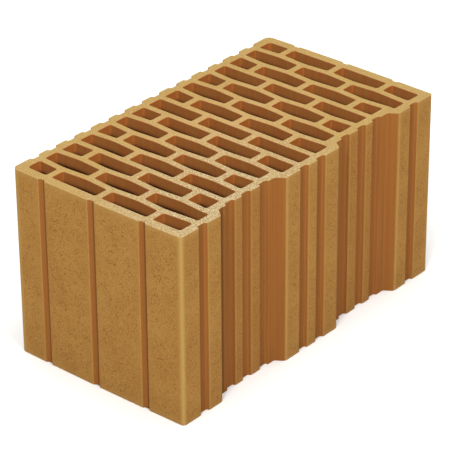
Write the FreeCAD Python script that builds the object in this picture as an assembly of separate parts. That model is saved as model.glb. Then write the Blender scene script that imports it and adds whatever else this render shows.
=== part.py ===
import FreeCAD, Part
import math
import os

# A hollow clay building block. All sizes are in millimetres.
# X runs from the flat end face to the interlocking face, Y through the wall
# thickness and Z along the perforations, with Z = 0 on the lower bed face.

# Size over all
WIDTH = 250.0
LENGTH = 450.0
HEIGHT = 238.0

# Upright corners of the block, rounder on the flat end face
FLAT_CORNER_RADIUS = 8.0
TOOTHED_CORNER_RADIUS = 4.0

# The two short faces swell slightly at mid-width
FACE_CROWN = 1.4

# Walls between the slots and the outer faces
SHORT_FACE_WALL = 12.7
FLAT_FACE_WALL = 12.6
TOOTHED_FACE_WALL = 11.9

# Staggered rows of slots, counted outwards from the middle row
ROW_PITCH = 29.0
ROW_WEB = 8.7
CROSS_WEB = 8.9
CROSS_WEB_PITCH = 74.6
CROSS_WEB_SHIFT = -4.8
SLOT_CORNER_RADIUS = 2.5
CORNER_SLOT_RADIUS = 5.0
SHORTEST_SLOT = 14.0

# The webs between rows zigzag, except every fourth one, which is straight
WEB_BEND = 1.45
WEB_BEND_RADIUS = 80.0
STRAIGHT_WEB_STEP = 4

# Shallow grooves down the two short faces, in line with the cross webs
GROOVE_WIDTH = 9.4
GROOVE_FLOOR_WIDTH = 6.4
GROOVE_DEPTH = 2.3

# Notches down both long faces, set out from the middle at two pitches in turn
NOTCH_WIDTH = 14.0
NOTCH_FLOOR_WIDTH = 11.8
NOTCH_DEPTH = 3.6
NOTCH_FIRST = 15.0
NOTCH_PITCH_WIDE = 30.3
NOTCH_PITCH_NARROW = 27.2

# Two broad recesses with sloping ends in the interlocking face
RECESS_CENTRE = 102.6
RECESS_FLOOR_WIDTH = 95.2
RECESS_END_RUN = 7.5
RECESS_DEPTH = 10.7

# Roundings along the profile
GROOVE_LIP_RADIUS = 1.2
NOTCH_LIP_RADIUS = 1.5
RECESS_LIP_RADIUS = 6.5
RECESS_FOOT_RADIUS = 4.0

# Least distance kept between a notch and a slope or corner
NOTCH_CLEARANCE = 1.0

# A rounding takes at most this share of the side next to it
ROUNDING_SHARE = 0.45
# Corners flatter than this are left as they are
FLAT_CORNER_ANGLE = math.radians(176)
# A zigzag turns no nearer than this to the end of a slot
TURN_MARGIN = 1.0


def crown_y(x):
    """Distance of the short face from mid-length at a place across the width."""
    return LENGTH / 2 - FACE_CROWN * (2 * x / WIDTH) ** 2


def rounded_loop(points):
    """Closed wire through (x, y, radius) corners, each rounded as far as it fits."""
    count = len(points)
    starts = []
    edges = []
    for index in range(count):
        before = FreeCAD.Vector(points[index - 1][0], points[index - 1][1], 0)
        corner = FreeCAD.Vector(points[index][0], points[index][1], 0)
        after = FreeCAD.Vector(points[(index + 1) % count][0], points[(index + 1) % count][1], 0)
        to_before = before - corner
        to_after = after - corner
        room = ROUNDING_SHARE * min(to_before.Length, to_after.Length)
        to_before.normalize()
        to_after.normalize()
        angle = to_before.getAngle(to_after)
        half_angle = angle / 2
        radius = points[index][2]
        if radius <= 0 or angle > FLAT_CORNER_ANGLE:
            starts.append((corner, corner))
            continue
        setback = min(radius / math.tan(half_angle), room)
        radius = setback * math.tan(half_angle)
        first = corner + to_before * setback
        last = corner + to_after * setback
        bisector = to_before + to_after
        bisector.normalize()
        centre = corner + bisector * (radius / math.sin(half_angle))
        middle = centre - bisector * radius
        starts.append((first, last))
        edges.append(Part.Arc(first, middle, last).toShape())
    for index in range(count):
        leave = starts[index][1]
        arrive = starts[(index + 1) % count][0]
        edges.append(Part.LineSegment(leave, arrive).toShape())
    return Part.Wire(Part.__sortEdges__(edges))


def cross_webs(odd_row):
    """Centres of the cross webs of a row that leave a useful slot at each end."""
    shift = CROSS_WEB_SHIFT if odd_row else CROSS_WEB_SHIFT + CROSS_WEB_PITCH / 2
    low = -WIDTH / 2 + FLAT_FACE_WALL + SHORTEST_SLOT + CROSS_WEB / 2
    high = WIDTH / 2 - TOOTHED_FACE_WALL - RECESS_DEPTH - SHORTEST_SLOT - CROSS_WEB / 2
    first = math.ceil((low - shift) / CROSS_WEB_PITCH)
    last = math.floor((high - shift) / CROSS_WEB_PITCH)
    return [shift + CROSS_WEB_PITCH * step for step in range(first, last + 1)]


def wave(x):
    """Triangle wave: +1 on the cross webs of odd rows, -1 on those of even rows."""
    phase = ((x - CROSS_WEB_SHIFT) / CROSS_WEB_PITCH) % 1.0
    return abs(4 * phase - 2) - 1


def wave_corners(x_start, x_end):
    """Places strictly between two ends where the triangle wave turns."""
    half = CROSS_WEB_PITCH / 2
    first = math.floor((x_start - CROSS_WEB_SHIFT) / half) + 1
    last = math.ceil((x_end - CROSS_WEB_SHIFT) / half)
    places = [CROSS_WEB_SHIFT + half * step for step in range(first, last)]
    return [x for x in places if x_start + TURN_MARGIN < x < x_end - TURN_MARGIN]


def row_web_y(step, x):
    """Centre line of the web on the far side of row `step` (0 is the middle row)."""
    outward = step + 1 if step >= 0 else -step
    y = ROW_PITCH * (step + 0.5)
    if outward % STRAIGHT_WEB_STEP == 1:
        return y
    bend = WEB_BEND * wave(x)
    return y + bend if is_even_row(step) else y - bend


def is_even_row(step):
    """Even rows carry one cross web fewer; the middle row is one of them."""
    return step % 2 == 0


def recess_ends():
    """Each recess as (outer start, floor start, floor end, outer end) along Y."""
    half = RECESS_FLOOR_WIDTH / 2
    spans = []
    for centre in (-RECESS_CENTRE, RECESS_CENTRE):
        spans.append((centre - half - RECESS_END_RUN, centre - half,
                      centre + half, centre + half + RECESS_END_RUN))
    return spans


def toothed_face_x(y):
    """Level of the interlocking face at a place along the block, notches left out."""
    for start, floor_start, floor_end, end in recess_ends():
        if floor_start <= y <= floor_end:
            return WIDTH / 2 - RECESS_DEPTH
        if start < y < floor_start:
            return WIDTH / 2 - RECESS_DEPTH * (y - start) / RECESS_END_RUN
        if floor_end < y < end:
            return WIDTH / 2 - RECESS_DEPTH * (end - y) / RECESS_END_RUN
    return WIDTH / 2


def row_steps():
    """Row numbers from one short face to the other, 0 being the middle row."""
    half_rows = round((LENGTH / 2 - SHORT_FACE_WALL - ROW_PITCH / 2) / ROW_PITCH)
    return range(-half_rows, half_rows + 1)


def slot_wires():
    """Outline of every slot."""
    steps = row_steps()
    left = -WIDTH / 2 + FLAT_FACE_WALL
    wires = []
    for step in steps:
        near_row = step == steps[0]
        far_row = step == steps[-1]

        def near_y(x):
            if near_row:
                return -(crown_y(x) - SHORT_FACE_WALL)
            return row_web_y(step - 1, x) + ROW_WEB / 2

        def far_y(x):
            if far_row:
                return crown_y(x) - SHORT_FACE_WALL
            return row_web_y(step, x) - ROW_WEB / 2

        reach = ROW_PITCH / 2 - ROW_WEB / 2 + WEB_BEND
        samples = [ROW_PITCH * step + reach * part for part in (-1, 0, 1)]
        right = min(toothed_face_x(y) for y in samples) - TOOTHED_FACE_WALL
        ends = [left]
        for centre in cross_webs(not is_even_row(step)):
            ends += [centre - CROSS_WEB / 2, centre + CROSS_WEB / 2]
        ends.append(right)
        for x_start, x_end in zip(ends[0::2], ends[1::2]):
            turns = wave_corners(x_start, x_end)
            big = CORNER_SLOT_RADIUS if x_start == left else SLOT_CORNER_RADIUS
            near_left = big if near_row else SLOT_CORNER_RADIUS
            far_left = big if far_row else SLOT_CORNER_RADIUS
            points = [(x_start, near_y(x_start), near_left)]
            if not near_row:
                points += [(x, near_y(x), WEB_BEND_RADIUS) for x in turns]
            points.append((x_end, near_y(x_end), SLOT_CORNER_RADIUS))
            points.append((x_end, far_y(x_end), SLOT_CORNER_RADIUS))
            if not far_row:
                points += [(x, far_y(x), WEB_BEND_RADIUS) for x in reversed(turns)]
            points.append((x_start, far_y(x_start), far_left))
            wires.append(rounded_loop(points))
    return wires


def notch_centres():
    """Distances of the notches from mid-length, nearest first."""
    corner = max(FLAT_CORNER_RADIUS, TOOTHED_CORNER_RADIUS)
    limit = crown_y(WIDTH / 2) - corner - NOTCH_WIDTH / 2 - NOTCH_CLEARANCE
    centres = []
    place = NOTCH_FIRST
    wide = True
    while place < limit:
        centres.append(place)
        place += NOTCH_PITCH_WIDE if wide else NOTCH_PITCH_NARROW
        wide = not wide
    return centres


def meets_slope(centre):
    """Whether a notch on the interlocking face would run into a recess end."""
    reach = NOTCH_WIDTH / 2 + NOTCH_CLEARANCE
    for start, floor_start, floor_end, end in recess_ends():
        for low, high in ((start, floor_start), (floor_end, end)):
            if low - reach < centre < high + reach:
                return True
    return False


def notch_points(centre, level, inward):
    """Four corners of a notch, in order of growing Y, cut from a long face."""
    top = NOTCH_WIDTH / 2
    floor = NOTCH_FLOOR_WIDTH / 2
    depth = level + inward * NOTCH_DEPTH
    return [(level, centre - top, NOTCH_LIP_RADIUS),
            (depth, centre - floor, 0),
            (depth, centre + floor, 0),
            (level, centre + top, NOTCH_LIP_RADIUS)]


def groove_points(centre, side):
    """Four corners of a groove, in order of growing X; side is -1 near, +1 far."""
    top = GROOVE_WIDTH / 2
    floor = GROOVE_FLOOR_WIDTH / 2
    depth = crown_y(centre) - GROOVE_DEPTH
    return [(centre - top, side * crown_y(centre - top), GROOVE_LIP_RADIUS),
            (centre - floor, side * depth, 0),
            (centre + floor, side * depth, 0),
            (centre + top, side * crown_y(centre + top), GROOVE_LIP_RADIUS)]


def outer_wire():
    """Outline of the whole section, corner by corner, anticlockwise."""
    half_width = WIDTH / 2
    corner_y = crown_y(half_width)
    grooves = cross_webs(True)
    notches = notch_centres()
    both_ways = sorted([-place for place in notches] + notches)

    points = [(-half_width, -corner_y, FLAT_CORNER_RADIUS)]
    for centre in grooves:
        points += groove_points(centre, -1)
    points.append((half_width, -corner_y, TOOTHED_CORNER_RADIUS))

    toothed = []
    for centre in both_ways:
        if not meets_slope(centre):
            toothed += notch_points(centre, toothed_face_x(centre), -1)
    for start, floor_start, floor_end, end in recess_ends():
        floor_x = half_width - RECESS_DEPTH
        toothed.append((half_width, start, RECESS_LIP_RADIUS))
        toothed.append((floor_x, floor_start, RECESS_FOOT_RADIUS))
        toothed.append((floor_x, floor_end, RECESS_FOOT_RADIUS))
        toothed.append((half_width, end, RECESS_LIP_RADIUS))
    points += sorted(toothed, key=lambda point: point[1])
    points.append((half_width, corner_y, TOOTHED_CORNER_RADIUS))

    for centre in reversed(grooves):
        points += reversed(groove_points(centre, 1))
    points.append((-half_width, corner_y, FLAT_CORNER_RADIUS))

    for centre in reversed(both_ways):
        points += reversed(notch_points(centre, -half_width, 1))
    return rounded_loop(points)


section = Part.Face([outer_wire()] + slot_wires(), "Part::FaceMakerBullseye")
block = section.extrude(FreeCAD.Vector(0, 0, HEIGHT))
block = block.Solids[0]

os.makedirs("parts", exist_ok=True)
block.exportStep("parts/hollow_clay_block.step")
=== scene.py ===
"""A hollow clay block on a pale studio floor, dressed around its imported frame."""
import math

import bmesh
import bpy
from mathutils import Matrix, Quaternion, Vector


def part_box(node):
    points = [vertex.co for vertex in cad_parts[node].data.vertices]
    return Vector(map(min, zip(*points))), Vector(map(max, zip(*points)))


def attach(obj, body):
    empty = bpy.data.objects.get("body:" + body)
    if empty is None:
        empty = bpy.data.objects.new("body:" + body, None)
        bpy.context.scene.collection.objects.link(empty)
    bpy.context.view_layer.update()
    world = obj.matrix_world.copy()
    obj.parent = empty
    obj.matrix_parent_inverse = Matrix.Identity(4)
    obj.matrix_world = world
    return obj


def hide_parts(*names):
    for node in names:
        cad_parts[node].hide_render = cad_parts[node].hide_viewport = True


MM = 0.001
BLOCK_NODE = "hollow_clay_block"

# Camera: where it stands, what it is aimed at, how it is rolled, and its lens
CAMERA_PLACE = Vector((1.71219, -2.00260, 1.58522))
CAMERA_AIM = Vector((0.00710, -0.01444, 0.12239))
CAMERA_ROLL_DEG = -0.408
CAMERA_LENS_MM = 207.327
CAMERA_SENSOR_MM = 36.0

# Studio
FLOOR_SIZE = 24.0
FLOOR_DROP = 0.0002
FLOOR_WHITE = "#F4F4F2"
PAPER_ROUGHNESS = 0.95
SKY_WHITE = "#FFFFFF"
SKY_STRENGTH = 0.1
TOP_PLACE = Vector((0.0, 0.0, 5.0))
TOP_SIZE = 4.5
TOP_POWER = 288.0
SIDE_SIZE = 2.5
RIGHT_PLACE = Vector((7.61, -2.02, 5.24))
RIGHT_POWER = 281.0
LEFT_PLACE = Vector((2.88, -6.81, 5.92))
LEFT_POWER = 434.0

# Section of the block, in millimetres: what tells the finish of each part of the outline
HALF_WIDTH = 125.0
HALF_LENGTH = 225.0
FACE_CROWN = 1.4
CORNER_REACH = 8.5
CORNER_WEAR_AND_HIGHLIGHT_DEPTH = 0.8
CHANNEL_STARTS = 0.25
RECESS_DEPTH = 10.7
RECESS_LIPS = (45.5, 161.0)
RECESS_LIP_REACH = 4.5
RECESS_SLOPE_STARTS = 0.6
RECESS_FLOOR_SPAN = (66.0, 136.5)

# Feet of grooves and notches: inside corners that turn by more than this are rounded, with
# a radius in millimetres that keeps to a share of the sides next to it
SHARP_FOOT_DEG = 30.0
FOOT_RADIUS = 2.5
FOOT_SHARE = 0.8
FOOT_STEPS = 6

# Longest straight piece of the outline, in millimetres
OUTLINE_STEP = 2.5

# How smooth and how pale the parts of the outline are, from 0 to 1, and the turn above which
# a convex edge is paler: the corners are partly worn and partly a painted highlight, and the
# lips that face the side lights carry a painted highlight
SMOOTH_RECESS_FLOOR = 0.45
CORNER_WEAR_AND_HIGHLIGHT = 1.0
CORNER_WEAR_AND_HIGHLIGHT_START = 0.4
RECESS_LIP_HIGHLIGHT = 0.6
GROOVE_LIP_HIGHLIGHT = 0.3
EDGE_WEAR_AND_HIGHLIGHT_TURN_DEG = 2.5

# Parts of the outline that lean more than this along a face are its flanks and slopes, and
# walls of a slot that lean more than this along the rows, towards +x, are the end that gets painted light
FLANK_LEAN = 0.5
SLOT_END_LEAN = 0.3

# Painted shadow in the channels of the long face, of its recesses and of the short faces,
# lying next to the flank that faces away from the side lights: how far it reaches from that
# flank, in millimetres, and how dark it is, from 0 to 1. It fades out over the last share of its reach.
PAINTED_SHADOW_REACH = {"long": 10.5, "recess": 10.5, "short": 3.5}
PAINTED_SHADOW_STRENGTH = {"long": 0.33, "recess": 0.2, "short": 1.0}
PAINTED_SHADOW_EDGE_SHARE = 1 / 3

# A slight darkening on the slopes of the recesses that lean towards the side lights
SLOPE_DARKENING = 0.13

# A painted shadow line on the floor of one recess, just beyond its lip
PAINTED_SHADOW_LINE_SPAN = (-147.0, -143.0)

# Rims of the wire-cut faces
RIM_RADIUS = 0.55 * MM
RIM_STEPS = 3

# The turn above which an edge is crisp, and the distance within which points are one
SHARP_TURN_DEG = 30.0
MERGE_DISTANCE = 0.004 * MM

# A CAD face whose normal rises by less than this is a wall
WALL_RISE = 0.5

# What the walls of the block carry for their finish, and for their painted light and shade
FINISHES = ("channel", "wear_and_highlight", "painted_shade", "rim_highlight", "slot", "lit_slot_end", "from_lip")

# Patterns in the clay, each with its size in millimetres, the two levels that the noise is
# cut between and its detail. The grog, pits and grit are drawn a little coarser than the
# real grains, of up to about 1 mm, so that they show.
MOTTLING = (30.0, 0.38, 0.62, 3.0)
GROG = (1.6, 0.54, 0.61, 1.0)
GROG_CLUSTERS = (7.0, 0.4, 0.6, 1.0)
PALE_GRAINS = (1.9, 0.54, 0.64, 1.0)
SKIN_GRIT = (0.9, 0.25, 0.75, 2.0)
DIE_STREAKS = (5.0, 0.35, 0.65, 2.0)
CORE_STREAKS = (4.0, 0.35, 0.65, 2.0)
CUT_MOTTLING = (30.0, 0.35, 0.65, 3.0)
CUT_PITS = (1.3, 0.5, 0.66, 1.0)
CUT_CRUMBS = (1.5, 0.5, 0.66, 1.0)
CUT_GRIT = (1.1, 0.25, 0.75, 2.0)

# Turn of every noise against the block's faces, in radians, and the share of its scale
# that streaks keep along the height
NOISE_TURN = (0.5, 0.8, 0.3)
DIE_STREAK_SHARE = 0.03
CORE_STREAK_SHARE = 0.05

# The die smears the grain next to its lips and the wire below each cut face. The grain
# comes back between two distances, and this share of it stays in the smear.
DIE_SMEAR = (1.0 * MM, 8.0 * MM)
WIRE_SMEAR = (3.0 * MM, 12.0 * MM)
SMEARED_GRAIN = 0.55

# Share of the dark grog between its clusters, and what a cluster adds to it
LOOSE_GROG = 0.65
CLUSTERED_GROG = 0.8

# Depths below a cut face: where the scuff on the flats fades, and where the painted shade in
# the slots darkens, and then thins to a share
SCUFF_FADES = (0.5 * MM, 7.0 * MM)
SLOT_SHADE_DARKENS = (6.0 * MM, 14.3 * MM)
SLOT_SHADE_THINS = (16.0 * MM, 45.0 * MM)
SLOT_SHADE_POWER = 3.0
DEEP_SHADE_SHARE = 0.3

# Patches of the cut faces, each with its centre and its reach across and along the block
# in millimetres
PALE_MIDDLE_PATCH = ((-5.0, -10.0), (110.0, 190.0))
COARSE_CORNER = ((110.0, -140.0), (165.0, 210.0))

# Share of the pits and crumbs away from the coarse corner, and what the corner adds to it
EVEN_CUT = 0.5
COARSER_CUT = 1.6

# Colours of the clay: each body's two tones, and what is laid over them, with how much of
# it shows at most
SKIN_TONES = ("#996D34", "#9F7439")
CHANNEL_TONES = ("#8D5828", "#935D2A")
SLOT_TONES = ("#995A2A", "#97622F")
CUT_TONES = ("#A48346", "#A8894C")
PALE_GRAIN = ("#AE8248", 0.5)
DARK_GROG = ("#664008", 0.46)
# Painted shadow in the channels, next to the flanks that face away from the side lights
CHANNEL_PAINTED_SHADOW = ("#472404", 0.6)
# Pale rub on the convex edges: partly wear, partly a painted highlight
EDGE_WEAR_AND_HIGHLIGHT = ("#A88547", 1.0)
SCUFFED_CLAY = ("#AC8D57", 0.25)
# Painted highlight along the rounded rims of the outer faces
SKIN_RIM_HIGHLIGHT = ("#B4965F", 1.0)
# Painted light: the slot end walls that face the right light, lighter and redder
PAINTED_LIGHT_SLOT_END = ("#A6622B", 1.0)
# Painted shade deep in the slots
SLOT_PAINTED_SHADE = ("#34180A", 0.95)
# Painted highlight along the rounded rims of the slots
SLOT_RIM_HIGHLIGHT = ("#BF9C71", 0.5)
# Paler clay towards the middle of the cut faces, and paler, greyer clay at the coarse corner
PALE_MIDDLE_CLAY = ("#B08E58", 1.0)
PALE_CORNER_CLAY = ("#A99269", 1.0)
CUT_PIT = ("#7E5E2E", 0.55)
CUT_CRUMB = ("#D0C09C", 0.5)

# Fired clay is matt: the gloss of each finish, and the grit of the skin and the cut faces
SKIN_SURFACE = {"Roughness": 0.88, "IOR": 1.5, "Specular IOR Level": 0.12}
SLOT_SURFACE = {"Roughness": 0.9, "IOR": 1.5, "Specular IOR Level": 0.1}
CUT_SURFACE = {"Roughness": 0.9, "IOR": 1.5, "Specular IOR Level": 0.3}
SKIN_BUMP = {"Strength": 0.35, "Distance": 0.25 * MM}
CUT_BUMP = {"Strength": 0.5, "Distance": 0.3 * MM}

# Numbers of a Mix node's colour sockets
COLOUR_BELOW = 6
COLOUR_ABOVE = 7
MIXED_COLOUR = 2


def linear(hex_colour):
    """Linear colour of an sRGB hex value, with full alpha."""
    parts = [int(hex_colour[i:i + 2], 16) / 255 for i in (1, 3, 5)]
    return [p / 12.92 if p <= 0.04045 else ((p + 0.055) / 1.055) ** 2.4 for p in parts] + [1.0]


def add(tree, kind, inputs=None, out=0, **settings):
    """Add a node with its settings, and its inputs as values or links, and give one
    of its outputs, or the node itself where out is None."""
    node = tree.nodes.new(kind)
    for name, value in settings.items():
        setattr(node, name, value)
    for key, value in (inputs or {}).items():
        if isinstance(value, bpy.types.NodeSocket):
            tree.links.new(value, node.inputs[key])
        else:
            node.inputs[key].default_value = value
    return node if out is None else node.outputs[out]


def new_material(name, surface):
    """A node material with its Principled shader, set to the values of a surface."""
    material = bpy.data.materials.new(name)
    material.use_nodes = True
    tree = material.node_tree
    tree.nodes.clear()
    shader = add(tree, "ShaderNodeBsdfPrincipled", surface, out=None)
    add(tree, "ShaderNodeOutputMaterial", {"Surface": shader.outputs["BSDF"]}, out=None)
    return material, tree, shader


def spots(tree, place, pattern):
    """Mask of soft-edged spots in a pattern. The noise is turned, because it is weaker on
    a face that runs along its lattice."""
    size_mm, low, high, detail = pattern
    turned = add(tree, "ShaderNodeMapping", {"Vector": place, "Rotation": NOISE_TURN})
    noise = add(tree, "ShaderNodeTexNoise",
                {"Vector": turned, "Scale": 1 / (size_mm * MM), "Detail": detail})
    return add(tree, "ShaderNodeMapRange", {"Value": noise, "From Min": low, "From Max": high})


def streaks(tree, place, pattern, share):
    """Mask of streaks along the height, where the pattern keeps a share of its scale."""
    stretched = add(tree, "ShaderNodeMapping", {"Vector": place, "Scale": (1.0, 1.0, share)})
    return spots(tree, stretched, pattern)


def patch(tree, place, centre_mm, reach_mm):
    """Mask that fades from 1 at a place on the section to 0 at an ellipse round it."""
    scale = [1 / (reach * MM) for reach in reach_mm]
    shift = [-centre / reach for centre, reach in zip(centre_mm, reach_mm)]
    measured = add(tree, "ShaderNodeVectorMath", {0: place, 1: (*scale, 0.0), 2: (*shift, 0.0)},
                   operation="MULTIPLY_ADD")
    distance = add(tree, "ShaderNodeVectorMath", {0: measured}, "Value", operation="LENGTH")
    return add(tree, "ShaderNodeMapRange", {"Value": distance, "To Min": 1.0, "To Max": 0.0})


def stained(tree, body, mask, stain, strength=1.0):
    """A colour with another laid over it where a mask is, at most at a strength. Each
    colour is a hex value or a link."""
    below, above = [linear(colour) if isinstance(colour, str) else colour for colour in (body, stain)]
    share = add(tree, "ShaderNodeMath", {0: mask, 1: strength}, operation="MULTIPLY")
    return add(tree, "ShaderNodeMix", {0: share, COLOUR_BELOW: below, COLOUR_ABOVE: above}, MIXED_COLOUR,
               data_type="RGBA")


def depth_below_cut(tree, place, height):
    """Distance of a place from the nearer of the two cut faces, in metres."""
    level = add(tree, "ShaderNodeSeparateXYZ", {0: place}, out="Z")
    off_middle = add(tree, "ShaderNodeMath", {0: level, 1: height / 2}, operation="SUBTRACT")
    distance = add(tree, "ShaderNodeMath", {0: off_middle}, operation="ABSOLUTE")
    return add(tree, "ShaderNodeMath", {0: height / 2, 1: distance}, operation="SUBTRACT")


def fired_skin(height):
    """Fired clay drawn through a die, the outer flats and channels: a matt ochre skin
    grained with fine dark grog in the middle of the flats, smooth and redder in the
    channels, with painted shadow in them next to one flank, paler on the convex edges, partly
    worn and partly a painted highlight, and with a painted highlight along the rims."""
    material, tree, shader = new_material("die_drawn_fired_clay", SKIN_SURFACE)
    place = add(tree, "ShaderNodeTexCoord", out="Object")
    channel = add(tree, "ShaderNodeAttribute", out="Fac", attribute_name="channel_finish")
    wear_and_highlight = add(tree, "ShaderNodeAttribute", out="Fac", attribute_name="wear_and_highlight_finish")
    painted_shade = add(tree, "ShaderNodeAttribute", out="Fac", attribute_name="painted_shade_finish")
    rim_highlight = add(tree, "ShaderNodeAttribute", out="Fac", attribute_name="rim_highlight_finish")
    from_lip = add(tree, "ShaderNodeAttribute", out="Fac", attribute_name="from_lip_finish")
    below_cut = depth_below_cut(tree, place, height)

    # The die smears the grain near its lips and in its channels, and the wire near the cut
    off_lip = add(tree, "ShaderNodeMapRange",
                  {"Value": from_lip, "From Min": DIE_SMEAR[0], "From Max": DIE_SMEAR[1]})
    off_wire = add(tree, "ShaderNodeMapRange",
                   {"Value": below_cut, "From Min": WIRE_SMEAR[0], "From Max": WIRE_SMEAR[1]})
    open_grain = add(tree, "ShaderNodeMath", {0: off_lip, 1: off_wire}, operation="MULTIPLY")
    kept_grain = add(tree, "ShaderNodeMath", {0: open_grain, 1: 1 - SMEARED_GRAIN, 2: SMEARED_GRAIN},
                     operation="MULTIPLY_ADD")
    unsmeared = add(tree, "ShaderNodeMapRange",
                    {"Value": channel, "From Min": SMOOTH_RECESS_FLOOR, "From Max": 1.0,
                     "To Min": 1.0, "To Max": 0.0})
    grain = add(tree, "ShaderNodeMath", {0: kept_grain, 1: unsmeared}, operation="MULTIPLY")

    # The dark grog lies in clusters, and the pale grains are even
    crowding = add(tree, "ShaderNodeMath",
                   {0: spots(tree, place, GROG_CLUSTERS), 1: CLUSTERED_GROG, 2: LOOSE_GROG},
                   operation="MULTIPLY_ADD")
    crowded = add(tree, "ShaderNodeMath", {0: crowding, 1: grain}, operation="MULTIPLY")
    dark = add(tree, "ShaderNodeMath", {0: spots(tree, place, GROG), 1: crowded}, operation="MULTIPLY")
    pale = add(tree, "ShaderNodeMath", {0: spots(tree, place, PALE_GRAINS), 1: grain}, operation="MULTIPLY")

    # The wire scuffs the flats below it, not the channels
    near_cut = add(tree, "ShaderNodeMapRange",
                   {"Value": below_cut, "From Min": SCUFF_FADES[0], "From Max": SCUFF_FADES[1],
                    "To Min": 1.0, "To Max": 0.0})
    on_flat = add(tree, "ShaderNodeMath", {0: 1.0, 1: channel}, operation="SUBTRACT")
    scuff = add(tree, "ShaderNodeMath", {0: near_cut, 1: on_flat}, operation="MULTIPLY")

    ochre = stained(tree, SKIN_TONES[0], spots(tree, place, MOTTLING), SKIN_TONES[1])
    drawn = streaks(tree, place, DIE_STREAKS, DIE_STREAK_SHARE)
    smooth = stained(tree, CHANNEL_TONES[0], drawn, CHANNEL_TONES[1])
    colour = stained(tree, ochre, channel, smooth)
    # Laid over the grain: painted shadow in the channels, a pale rub on the convex edges that is partly
    # wear and partly a painted highlight, the scuff, and a painted highlight along the rims
    for mask, stain in ((pale, PALE_GRAIN), (dark, DARK_GROG), (painted_shade, CHANNEL_PAINTED_SHADOW), (wear_and_highlight, EDGE_WEAR_AND_HIGHLIGHT),
                        (scuff, SCUFFED_CLAY), (rim_highlight, SKIN_RIM_HIGHLIGHT)):
        colour = stained(tree, colour, mask, *stain)
    tree.links.new(colour, shader.inputs["Base Color"])

    bump = add(tree, "ShaderNodeBump", {"Height": spots(tree, place, SKIN_GRIT), **SKIN_BUMP})
    tree.links.new(bump, shader.inputs["Normal"])
    return material


def fired_slot_wall(height):
    """Fired clay inside the slots, drawn smooth over the cores: redder than the outer
    skin, matt, with painted light that makes the end walls facing +x lighter and redder, a pale
    painted highlight along the rim, and a dark band of painted shade some way down that thins
    out towards the middle."""
    material, tree, shader = new_material("core_drawn_fired_clay", SLOT_SURFACE)
    place = add(tree, "ShaderNodeTexCoord", out="Object")
    rim_highlight = add(tree, "ShaderNodeAttribute", out="Fac", attribute_name="rim_highlight_finish")
    lit_slot_end = add(tree, "ShaderNodeAttribute", out="Fac", attribute_name="lit_slot_end_finish")
    below_cut = depth_below_cut(tree, place, height)
    # Painted shade some way down the slots, darkening with depth and then thinning
    deep = add(tree, "ShaderNodeMapRange",
               {"Value": below_cut, "From Min": SLOT_SHADE_DARKENS[0], "From Max": SLOT_SHADE_DARKENS[1]})
    darkening = add(tree, "ShaderNodeMath", {0: deep, 1: SLOT_SHADE_POWER}, operation="POWER")
    thinning = add(tree, "ShaderNodeMapRange",
                   {"Value": below_cut, "From Min": SLOT_SHADE_THINS[0], "From Max": SLOT_SHADE_THINS[1],
                    "To Min": 1.0, "To Max": DEEP_SHADE_SHARE})
    painted_shade = add(tree, "ShaderNodeMath", {0: darkening, 1: thinning}, operation="MULTIPLY")

    drawn = streaks(tree, place, CORE_STREAKS, CORE_STREAK_SHARE)
    colour = stained(tree, SLOT_TONES[0], drawn, SLOT_TONES[1])
    # Painted light on the end walls that face +x, the painted shade, and a painted highlight on the rim
    for mask, stain in ((lit_slot_end, PAINTED_LIGHT_SLOT_END), (painted_shade, SLOT_PAINTED_SHADE), (rim_highlight, SLOT_RIM_HIGHLIGHT)):
        colour = stained(tree, colour, mask, *stain)
    tree.links.new(colour, shader.inputs["Base Color"])
    return material


def wire_cut_face():
    """Fired clay cut by a wire, the two bed faces: matt beige yellow, greyer towards the
    middle and the coarse corner, where the wire tore more pits and crumbs."""
    material, tree, shader = new_material("wire_cut_fired_clay", CUT_SURFACE)
    place = add(tree, "ShaderNodeTexCoord", out="Object")
    corner = patch(tree, place, *COARSE_CORNER)
    coarse = add(tree, "ShaderNodeMath", {0: corner, 1: COARSER_CUT, 2: EVEN_CUT}, operation="MULTIPLY_ADD")
    pits = add(tree, "ShaderNodeMath", {0: spots(tree, place, CUT_PITS), 1: coarse}, operation="MULTIPLY")
    crumbs = add(tree, "ShaderNodeMath", {0: spots(tree, place, CUT_CRUMBS), 1: coarse},
                 operation="MULTIPLY")

    colour = stained(tree, CUT_TONES[0], spots(tree, place, CUT_MOTTLING), CUT_TONES[1])
    for mask, stain in ((patch(tree, place, *PALE_MIDDLE_PATCH), PALE_MIDDLE_CLAY), (corner, PALE_CORNER_CLAY),
                        (pits, CUT_PIT), (crumbs, CUT_CRUMB)):
        colour = stained(tree, colour, mask, *stain)
    tree.links.new(colour, shader.inputs["Base Color"])
    bump = add(tree, "ShaderNodeBump", {"Height": spots(tree, place, CUT_GRIT), **CUT_BUMP})
    tree.links.new(bump, shader.inputs["Normal"])
    return material


def depths(x, y):
    """How far a place on the outline lies below the long and the short face, in mm."""
    face_end = HALF_LENGTH - FACE_CROWN * (x / HALF_WIDTH) ** 2
    return HALF_WIDTH - abs(x), face_end - abs(y)


def smoothness(x, y):
    """How smooth the die left a place on the outline: 1 in grooves, notches and on the
    slopes of the recesses, less on their floors, 0 on the outer flats."""
    below_long, below_short = depths(x, y)
    depth = min(below_long, below_short)
    if max(below_long, below_short) < CORNER_REACH:
        return 0.0
    if x > 0 and RECESS_LIPS[0] < abs(y) < RECESS_LIPS[1]:
        if depth < RECESS_SLOPE_STARTS:
            return 0.0
        on_floor = RECESS_FLOOR_SPAN[0] < abs(y) < RECESS_FLOOR_SPAN[1]
        return SMOOTH_RECESS_FLOOR if on_floor and depth < RECESS_DEPTH + CHANNEL_STARTS else 1.0
    return 1.0 if depth > CHANNEL_STARTS else 0.0


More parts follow.
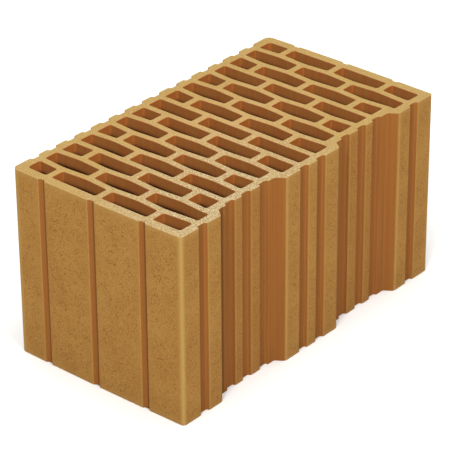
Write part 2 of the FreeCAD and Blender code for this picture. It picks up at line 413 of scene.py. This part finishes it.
def facing(x, y, way):
    """Which faces a place on the outline belongs to, and which way it leans along them:
    above 0 towards the side lights, where edges get a painted highlight, below 0 away from
    them, where painted shadow lies next to the flanks."""
    below_long, below_short = depths(x, y)
    return ("long", -way.y) if below_long < below_short else ("short", way.x)


def edge_wear_and_highlight(x, y, way):
    """How pale a convex edge is at a place on the outline, from 0 to 1: at the corners partly
    worn and partly a painted highlight, on the lips that face the side lights a painted highlight.
    """
    below_long, below_short = depths(x, y)
    if max(below_long, below_short) < CORNER_REACH:
        depth = max(0.0, min(below_long, below_short))
        share = min(1.0, math.sqrt(depth / CORNER_WEAR_AND_HIGHLIGHT_DEPTH))
        return CORNER_WEAR_AND_HIGHLIGHT_START + (CORNER_WEAR_AND_HIGHLIGHT - CORNER_WEAR_AND_HIGHLIGHT_START) * share
    # Only the lips that face the side lights get a painted highlight
    if facing(x, y, way)[1] < 0:
        return 0.0
    off_lip = min(abs(abs(y) - lip) for lip in RECESS_LIPS)
    if x > 0 and off_lip < RECESS_LIP_REACH:
        return RECESS_LIP_HIGHLIGHT * (1 - off_lip / RECESS_LIP_REACH)
    return GROOVE_LIP_HIGHLIGHT


def section_loops(node):
    """Closed loops of the block's section, read from a merged copy of the CAD node:
    each point with the outward normal of the wall after it. The outer loop is first."""
    solid = bmesh.new()
    solid.from_mesh(node.data)
    bmesh.ops.remove_doubles(solid, verts=solid.verts, dist=MERGE_DISTANCE)
    solid.normal_update()
    links = {}
    for edge in solid.edges:
        walls = [face for face in edge.link_faces if abs(face.normal.z) < WALL_RISE]
        beds = [face for face in edge.link_faces if face.normal.z < -WALL_RISE]
        if len(walls) == 1 and len(beds) == 1:
            first, second = edge.verts
            links.setdefault(first, []).append((second, walls[0].normal.copy()))
            links.setdefault(second, []).append((first, walls[0].normal.copy()))

    loops = []
    unused = dict.fromkeys(sorted(links, key=lambda vert: -vert.co.x))
    while unused:
        vert = next(iter(unused))
        before = links[vert][1][0]
        loop = []
        while vert in unused:
            del unused[vert]
            after, normal = [link for link in links[vert] if link[0] is not before][0]
            loop.append((vert.co.xy.to_3d(), normal))
            before, vert = vert, after
        loops.append(loop)
    solid.free()
    return loops


def with_round_feet(loop, radius):
    """A loop with its sharp inside corners rounded, as the worn die leaves the feet of
    grooves and notches."""
    rounded = []
    for i, (place, after) in enumerate(loop):
        before = loop[i - 1][1]
        behind = loop[i - 1][0] - place
        ahead = loop[(i + 1) % len(loop)][0] - place
        turn = before.angle(after)
        if math.degrees(turn) < SHARP_FOOT_DEG or (behind + ahead).dot(before + after) < 0:
            rounded.append((place, after))
            continue
        reach = min(radius * math.tan(turn / 2), FOOT_SHARE * behind.length, FOOT_SHARE * ahead.length)
        fillet = reach / math.tan(turn / 2)
        centre = place + (before + after).normalized() * fillet / math.cos(turn / 2)
        for step in range(FOOT_STEPS + 1):
            wall = after if step == FOOT_STEPS else before.slerp(after, (step + 0.5) / FOOT_STEPS)
            rounded.append((centre - before.slerp(after, step / FOOT_STEPS) * fillet, wall))
    return rounded


def with_steps(loop, step):
    """A loop with its long straight sides cut into pieces no longer than a step."""
    finer = []
    for (here, normal), (there, _) in zip(loop, loop[1:] + loop[:1]):
        pieces = math.ceil((there - here).length / step)
        finer += [(here.lerp(there, piece / pieces), normal) for piece in range(pieces)]
    return finer


def along_from(loop, marked):
    """Distance along a loop from each point to the nearest marked one."""
    distances = [0.0 if mark else math.inf for mark in marked]
    for direction in (1, -1):
        order = list(range(len(loop)))[::direction] * 2
        for before, here in zip(order, order[1:]):
            gap = (loop[here][0] - loop[before][0]).length
            distances[here] = min(distances[here], distances[before] + gap)
    return distances


def painted_channel_shadow(loop, ways, channel):
    """How dark the painted shadow is at each point of the outline, from 0 to 1: it lies in the
    channels, next to the flank that faces away from the side lights, with a slight darkening on
    the recess slopes that lean towards them."""
    sides = [facing(place.x / MM, place.y / MM, way) for (place, _), way in zip(loop, ways)]
    flanks = [smooth == 1 and lean < -FLANK_LEAN for smooth, (_, lean) in zip(channel, sides)]
    painted_shade = []
    for (place, _), distance, smooth, (side, lean) in zip(loop, along_from(loop, flanks), channel, sides):
        y = place.y / MM
        if place.x > 0 and RECESS_LIPS[0] < abs(y) < RECESS_LIPS[1]:
            side = "recess"
        left = max(0.0, 1 - distance / (PAINTED_SHADOW_REACH[side] * MM))
        cover = min(1.0, left / PAINTED_SHADOW_EDGE_SHARE) * PAINTED_SHADOW_STRENGTH[side]
        # A slight darkening on the recess slopes that lean towards the side lights
        if side == "recess" and lean > FLANK_LEAN:
            cover = max(cover, SLOPE_DARKENING)
        # A painted shadow line just beyond the lip of the near recess
        if side == "recess" and PAINTED_SHADOW_LINE_SPAN[0] < y < PAINTED_SHADOW_LINE_SPAN[1]:
            cover = 1.0
        painted_shade.append(cover if smooth == 1 else 0.0)
    return painted_shade


def section_mesh(node):
    """The block's section as a flat mesh of edges. Its points carry the way out of the
    clay and the finish of that part, with its painted light and shade."""
    places = []
    edges = []
    names = ("way_out", "slot", "lit_slot_end", "channel", "wear_and_highlight", "painted_shade", "from_lip")
    rows = {name: [] for name in names}
    for number, loop in enumerate(section_loops(node)):
        outside = number == 0
        if outside:
            loop = with_steps(with_round_feet(loop, FOOT_RADIUS * MM), OUTLINE_STEP * MM)
        count = len(loop)
        ways = [(loop[i - 1][1] + loop[i][1]) / (1 + loop[i - 1][1].dot(loop[i][1])) for i in range(count)]
        wear_and_highlight = [0.0] * count
        channel = [0.0] * count
        painted_shade = [0.0] * count
        if outside:
            channel = [smoothness(place.x / MM, place.y / MM) for place, _ in loop]
            for i, (place, normal) in enumerate(loop):
                middle = (loop[i - 1][0] + loop[(i + 1) % count][0]) / 2
                bulges = (middle - place).dot(ways[i]) < 0
                turns = math.degrees(loop[i - 1][1].angle(normal)) > EDGE_WEAR_AND_HIGHLIGHT_TURN_DEG
                # Convex edges get a pale rub, partly wear and partly a painted highlight
                if bulges and turns and channel[i] < 1:
                    wear_and_highlight[i] = edge_wear_and_highlight(place.x / MM, place.y / MM, ways[i])
            # Painted shadow in the channels
            painted_shade = painted_channel_shadow(loop, ways, channel)
        lips = [rub > 0 or smooth == 1 for rub, smooth in zip(wear_and_highlight, channel)]
        first = len(places)
        places += [place for place, _ in loop]
        edges += [(first + i, first + (i + 1) % count) for i in range(count)]
        rows["way_out"] += ways
        rows["slot"] += [0.0 if outside else 1.0] * count
        # The slot end walls that face +x get painted light
        rows["lit_slot_end"] += [0.0 if outside or way.x < SLOT_END_LEAN else 1.0 for way in ways]
        rows["channel"] += channel
        rows["wear_and_highlight"] += wear_and_highlight
        rows["painted_shade"] += painted_shade
        rows["from_lip"] += along_from(loop, lips) if outside else [0.0] * count

    mesh = bpy.data.meshes.new("block_section")
    mesh.from_pydata(places, edges, [])
    for name, values in rows.items():
        if name == "way_out":
            attribute = mesh.attributes.new(name, "FLOAT_VECTOR", "POINT")
            attribute.data.foreach_set("vector", [part for value in values for part in value])
        else:
            attribute = mesh.attributes.new(name, "FLOAT", "POINT")
            attribute.data.foreach_set("value", values)
    return mesh


def moved_along(tree, base, way, distance):
    """A place moved some distance along a direction."""
    shift = add(tree, "ShaderNodeVectorMath", {0: way, "Scale": distance}, operation="SCALE")
    return add(tree, "ShaderNodeVectorMath", {0: base, 1: shift}, operation="ADD")


def pressing_tree():
    """Geometry Nodes that draw a flat section up to a height, as the press draws the
    column of clay, round the two cut rims and close both bed faces."""
    tree = bpy.data.node_groups.new("press_and_cut", "GeometryNodeTree")
    sockets = [("Section", "Geometry"), ("Height", "Float"), ("Rim Radius", "Float"), ("Rim Steps", "Int"),
               ("Sharp Turn", "Float"), ("Merge Distance", "Float"),
               ("Skin", "Material"), ("Slot Wall", "Material"), ("Cut Face", "Material")]
    for name, kind in sockets:
        tree.interface.new_socket(name, in_out="INPUT", socket_type="NodeSocket" + kind)
    tree.interface.new_socket("Block", in_out="OUTPUT", socket_type="NodeSocketGeometry")
    given = add(tree, "NodeGroupInput", out=None).outputs
    radius = given["Rim Radius"]
    steps = given["Rim Steps"]

    # First ring, drawn in by the rim's radius
    way_out = add(tree, "GeometryNodeInputNamedAttribute", {"Name": "way_out"}, "Attribute",
                  data_type="FLOAT_VECTOR")
    way_in = add(tree, "ShaderNodeVectorMath", {0: way_out, "Scale": -1.0}, operation="SCALE")
    here = add(tree, "GeometryNodeInputPosition")
    kept = add(tree, "GeometryNodeStoreNamedAttribute",
               {"Geometry": given["Section"], "Name": "section_place", "Value": here},
               data_type="FLOAT_VECTOR", domain="POINT")
    ring = add(tree, "GeometryNodeSetPosition",
               {"Geometry": kept, "Position": moved_along(tree, here, way_in, radius)})
    # The rounded rims carry a painted highlight, full at the bed face
    marked = add(tree, "GeometryNodeStoreNamedAttribute", {"Geometry": ring, "Name": "rim_highlight", "Value": 1.0},
                 data_type="FLOAT", domain="POINT")

    # One more ring each time round: the lower rim, the wall, then the upper rim. Each is
    # drawn off the last by a token distance and then put in its place.
    start = add(tree, "GeometryNodeRepeatInput", out=None)
    end = add(tree, "GeometryNodeRepeatOutput", out=None)
    start.pair_with_output(end)
    end.repeat_items.new("BOOLEAN", "Newest")
    rings = add(tree, "ShaderNodeMath", {0: steps, 1: 2.0, 2: 1.0}, operation="MULTIPLY_ADD")
    tree.links.new(rings, start.inputs["Iterations"])
    tree.links.new(marked, start.inputs["Geometry"])
    start.inputs["Newest"].default_value = True

    # The ring's place on the quarter round of its rim, from 0 at the bed face to 90 degrees
    number = add(tree, "ShaderNodeMath", {0: start.outputs["Iteration"], 1: 1.0}, operation="ADD")
    to_last = add(tree, "ShaderNodeMath", {0: rings, 1: number}, operation="SUBTRACT")
    from_bed = add(tree, "ShaderNodeMath", {0: number, 1: to_last}, operation="MINIMUM")
    share = add(tree, "ShaderNodeMath", {0: from_bed, 1: steps}, operation="DIVIDE")
    angle = add(tree, "ShaderNodeMath", {0: share, 1: math.pi / 2}, operation="MULTIPLY")
    sine = add(tree, "ShaderNodeMath", {0: angle}, operation="SINE")
    cosine = add(tree, "ShaderNodeMath", {0: angle}, operation="COSINE")
    drawn_in = add(tree, "ShaderNodeMath", {0: 1.0, 1: sine}, operation="SUBTRACT")
    drawn_up = add(tree, "ShaderNodeMath", {0: 1.0, 1: cosine}, operation="SUBTRACT")
    inset = add(tree, "ShaderNodeMath", {0: drawn_in, 1: radius}, operation="MULTIPLY")
    rise = add(tree, "ShaderNodeMath", {0: drawn_up, 1: radius}, operation="MULTIPLY")
    from_top = add(tree, "ShaderNodeMath", {0: given["Height"], 1: rise}, operation="SUBTRACT")
    is_upper = add(tree, "ShaderNodeMath", {0: number, 1: steps}, operation="GREATER_THAN")
    level = add(tree, "GeometryNodeSwitch", {"Switch": is_upper, "False": rise, "True": from_top},
                input_type="FLOAT")
    section_place = add(tree, "GeometryNodeInputNamedAttribute", {"Name": "section_place"}, "Attribute",
                        data_type="FLOAT_VECTOR")
    base = moved_along(tree, section_place, way_in, inset)
    grown = add(tree, "GeometryNodeExtrudeMesh",
                {"Mesh": start.outputs["Geometry"], "Selection": start.outputs["Newest"],
                 "Offset": (0.0, 0.0, 1.0), "Offset Scale": MM}, None, mode="EDGES").outputs
    placed = add(tree, "GeometryNodeSetPosition",
                 {"Geometry": grown["Mesh"], "Selection": grown["Top"],
                  "Position": moved_along(tree, base, (0.0, 0.0, 1.0), level)})
    # The painted highlight fades across the rounding towards the wall
    rimmed = add(tree, "GeometryNodeStoreNamedAttribute",
                 {"Geometry": placed, "Selection": grown["Top"], "Name": "rim_highlight", "Value": drawn_in},
                 data_type="FLOAT", domain="POINT")
    tree.links.new(rimmed, end.inputs["Geometry"])
    tree.links.new(grown["Top"], end.inputs["Newest"])

    # Walls face the air, and keep their finish as face corners so that the caps have none
    normal = add(tree, "GeometryNodeInputNormal")
    outwards = add(tree, "ShaderNodeVectorMath", {0: normal, 1: way_out}, "Value", operation="DOT_PRODUCT")
    inward = add(tree, "FunctionNodeCompare", {0: outwards, 1: 0.0}, operation="LESS_THAN")
    walls = add(tree, "GeometryNodeFlipFaces", {"Mesh": end.outputs["Geometry"], "Selection": inward})
    for name in FINISHES:
        value = add(tree, "GeometryNodeInputNamedAttribute", {"Name": name}, "Attribute", data_type="FLOAT")
        walls = add(tree, "GeometryNodeStoreNamedAttribute",
                    {"Geometry": walls, "Name": name + "_finish", "Value": value},
                    data_type="FLOAT", domain="CORNER")
    for name in (*FINISHES, "section_place", "way_out"):
        walls = add(tree, "GeometryNodeRemoveAttribute", {"Geometry": walls, "Name": name})

    # Bed faces
    outline = add(tree, "GeometryNodeMeshToCurve", {"Mesh": ring})
    fill = add(tree, "GeometryNodeFillCurve", {"Curve": outline}, mode="TRIANGLES")
    fill = add(tree, "GeometryNodeStoreNamedAttribute", {"Geometry": fill, "Name": "cut", "Value": 1.0},
               data_type="FLOAT", domain="FACE")
    lifted = add(tree, "ShaderNodeCombineXYZ", {"Z": given["Height"]})
    upper = add(tree, "GeometryNodeSetPosition", {"Geometry": fill, "Offset": lifted})
    lower = add(tree, "GeometryNodeFlipFaces", {"Mesh": fill})

    joined = add(tree, "GeometryNodeJoinGeometry", out=None)
    for part in (walls, upper, lower):
        tree.links.new(part, joined.inputs[0])
    welded = add(tree, "GeometryNodeMergeByDistance",
                 {"Geometry": joined.outputs[0], "Distance": given["Merge Distance"]})
    soft = add(tree, "GeometryNodeSetShadeSmooth", {"Geometry": welded, "Shade Smooth": True},
               domain="FACE")

    # Edges are crisp at sharp turns, and where the bed faces meet their rims: there half of
    # the faces beside the edge are cut
    cut = add(tree, "GeometryNodeInputNamedAttribute", {"Name": "cut"}, "Attribute", data_type="FLOAT")
    border = add(tree, "ShaderNodeMath", {0: cut, 1: 0.5, 2: 0.3}, operation="COMPARE")
    turn = add(tree, "GeometryNodeInputMeshEdgeAngle", out="Unsigned Angle")
    sharp = add(tree, "ShaderNodeMath", {0: turn, 1: given["Sharp Turn"]}, operation="GREATER_THAN")
    crisp = add(tree, "ShaderNodeMath", {0: sharp, 1: border}, operation="MAXIMUM")
    creased = add(tree, "GeometryNodeSetShadeSmooth",
                  {"Geometry": soft, "Selection": crisp, "Shade Smooth": False}, domain="EDGE")

    made = add(tree, "GeometryNodeRealizeInstances", {"Geometry": creased})
    made = add(tree, "GeometryNodeSetMaterial", {"Geometry": made, "Material": given["Skin"]})
    for name, material in (("slot_finish", "Slot Wall"), ("cut", "Cut Face")):
        part = add(tree, "GeometryNodeInputNamedAttribute", {"Name": name}, "Attribute", data_type="FLOAT")
        made = add(tree, "GeometryNodeSetMaterial",
                   {"Geometry": made, "Selection": part, "Material": given[material]})
    add(tree, "NodeGroupOutput", {"Block": made}, out=None)
    return tree


def press_block(node):
    """The block as one piece, grown from the section of its CAD node."""
    low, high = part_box(BLOCK_NODE)
    height = high.z - low.z
    block = bpy.data.objects.new("clay_block", section_mesh(node))
    bpy.context.scene.collection.objects.link(block)
    modifier = block.modifiers.new("press_and_cut", "NODES")
    modifier.node_group = pressing_tree()
    values = {"Height": height, "Rim Radius": RIM_RADIUS, "Rim Steps": RIM_STEPS,
              "Sharp Turn": math.radians(SHARP_TURN_DEG), "Merge Distance": MERGE_DISTANCE,
              "Skin": fired_skin(height), "Slot Wall": fired_slot_wall(height), "Cut Face": wire_cut_face()}
    for item in modifier.node_group.interface.items_tree:
        if item.in_out == "INPUT" and item.name in values:
            modifier[item.identifier] = values[item.name]
    bpy.context.view_layer.update()
    finished = block.evaluated_get(bpy.context.evaluated_depsgraph_get())
    mesh = bpy.data.meshes.new_from_object(finished)
    block.modifiers.clear()
    block.data = mesh
    mesh.name = "clay_block"
    return block


def studio_floor():
    """A plain pale floor, just under the block."""
    mesh = bpy.data.meshes.new("floor")
    half = FLOOR_SIZE / 2
    corners = [(-half, -half), (half, -half), (half, half), (-half, half)]
    mesh.from_pydata([(x, y, -FLOOR_DROP) for x, y in corners], [], [(0, 1, 2, 3)])
    floor = bpy.data.objects.new("floor", mesh)
    bpy.context.scene.collection.objects.link(floor)
    paper = {"Base Color": linear(FLOOR_WHITE), "Roughness": PAPER_ROUGHNESS}
    floor.data.materials.append(new_material("white_studio_paper", paper)[0])


def soft_box(name, place, size, power):
    """A square soft light aimed at the block."""
    light = bpy.data.lights.new(name, "AREA")
    light.shape = "SQUARE"
    light.size = size
    light.energy = power
    lamp = bpy.data.objects.new(name, light)
    lamp.location = place
    lamp.rotation_euler = (CAMERA_AIM - place).to_track_quat("-Z", "Y").to_euler()
    bpy.context.scene.collection.objects.link(lamp)


def studio_light():
    """A faint white sky, a wide soft light above and a smaller one to each side."""
    world = bpy.data.worlds.new("studio")
    bpy.context.scene.world = world
    world.use_nodes = True
    sky = world.node_tree.nodes["Background"]
    sky.inputs["Color"].default_value = linear(SKY_WHITE)
    sky.inputs["Strength"].default_value = SKY_STRENGTH
    soft_box("top_light", TOP_PLACE, TOP_SIZE, TOP_POWER)
    soft_box("right_light", RIGHT_PLACE, SIDE_SIZE, RIGHT_POWER)
    soft_box("left_light", LEFT_PLACE, SIDE_SIZE, LEFT_POWER)


def studio_camera():
    """The camera, at the photograph's angle."""
    lens = bpy.data.cameras.new("camera")
    lens.lens = CAMERA_LENS_MM
    lens.sensor_width = CAMERA_SENSOR_MM
    camera = bpy.data.objects.new("camera", lens)
    camera.location = CAMERA_PLACE
    camera.rotation_mode = "QUATERNION"
    level = (CAMERA_AIM - CAMERA_PLACE).to_track_quat("-Z", "Y")
    camera.rotation_quaternion = level @ Quaternion((0.0, 0.0, 1.0), math.radians(CAMERA_ROLL_DEG))
    bpy.context.scene.collection.objects.link(camera)
    bpy.context.scene.camera = camera


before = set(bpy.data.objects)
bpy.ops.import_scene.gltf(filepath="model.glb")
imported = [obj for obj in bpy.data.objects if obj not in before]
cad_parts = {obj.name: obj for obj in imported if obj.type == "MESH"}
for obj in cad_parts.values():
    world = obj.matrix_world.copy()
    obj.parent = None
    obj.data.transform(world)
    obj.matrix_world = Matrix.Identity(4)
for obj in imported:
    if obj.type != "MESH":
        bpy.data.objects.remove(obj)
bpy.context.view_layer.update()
bpy.context.scene.view_settings.view_transform = "Standard"

studio_camera()
studio_light()
studio_floor()

block = press_block(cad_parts[BLOCK_NODE])
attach(block, "root")
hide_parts(BLOCK_NODE)
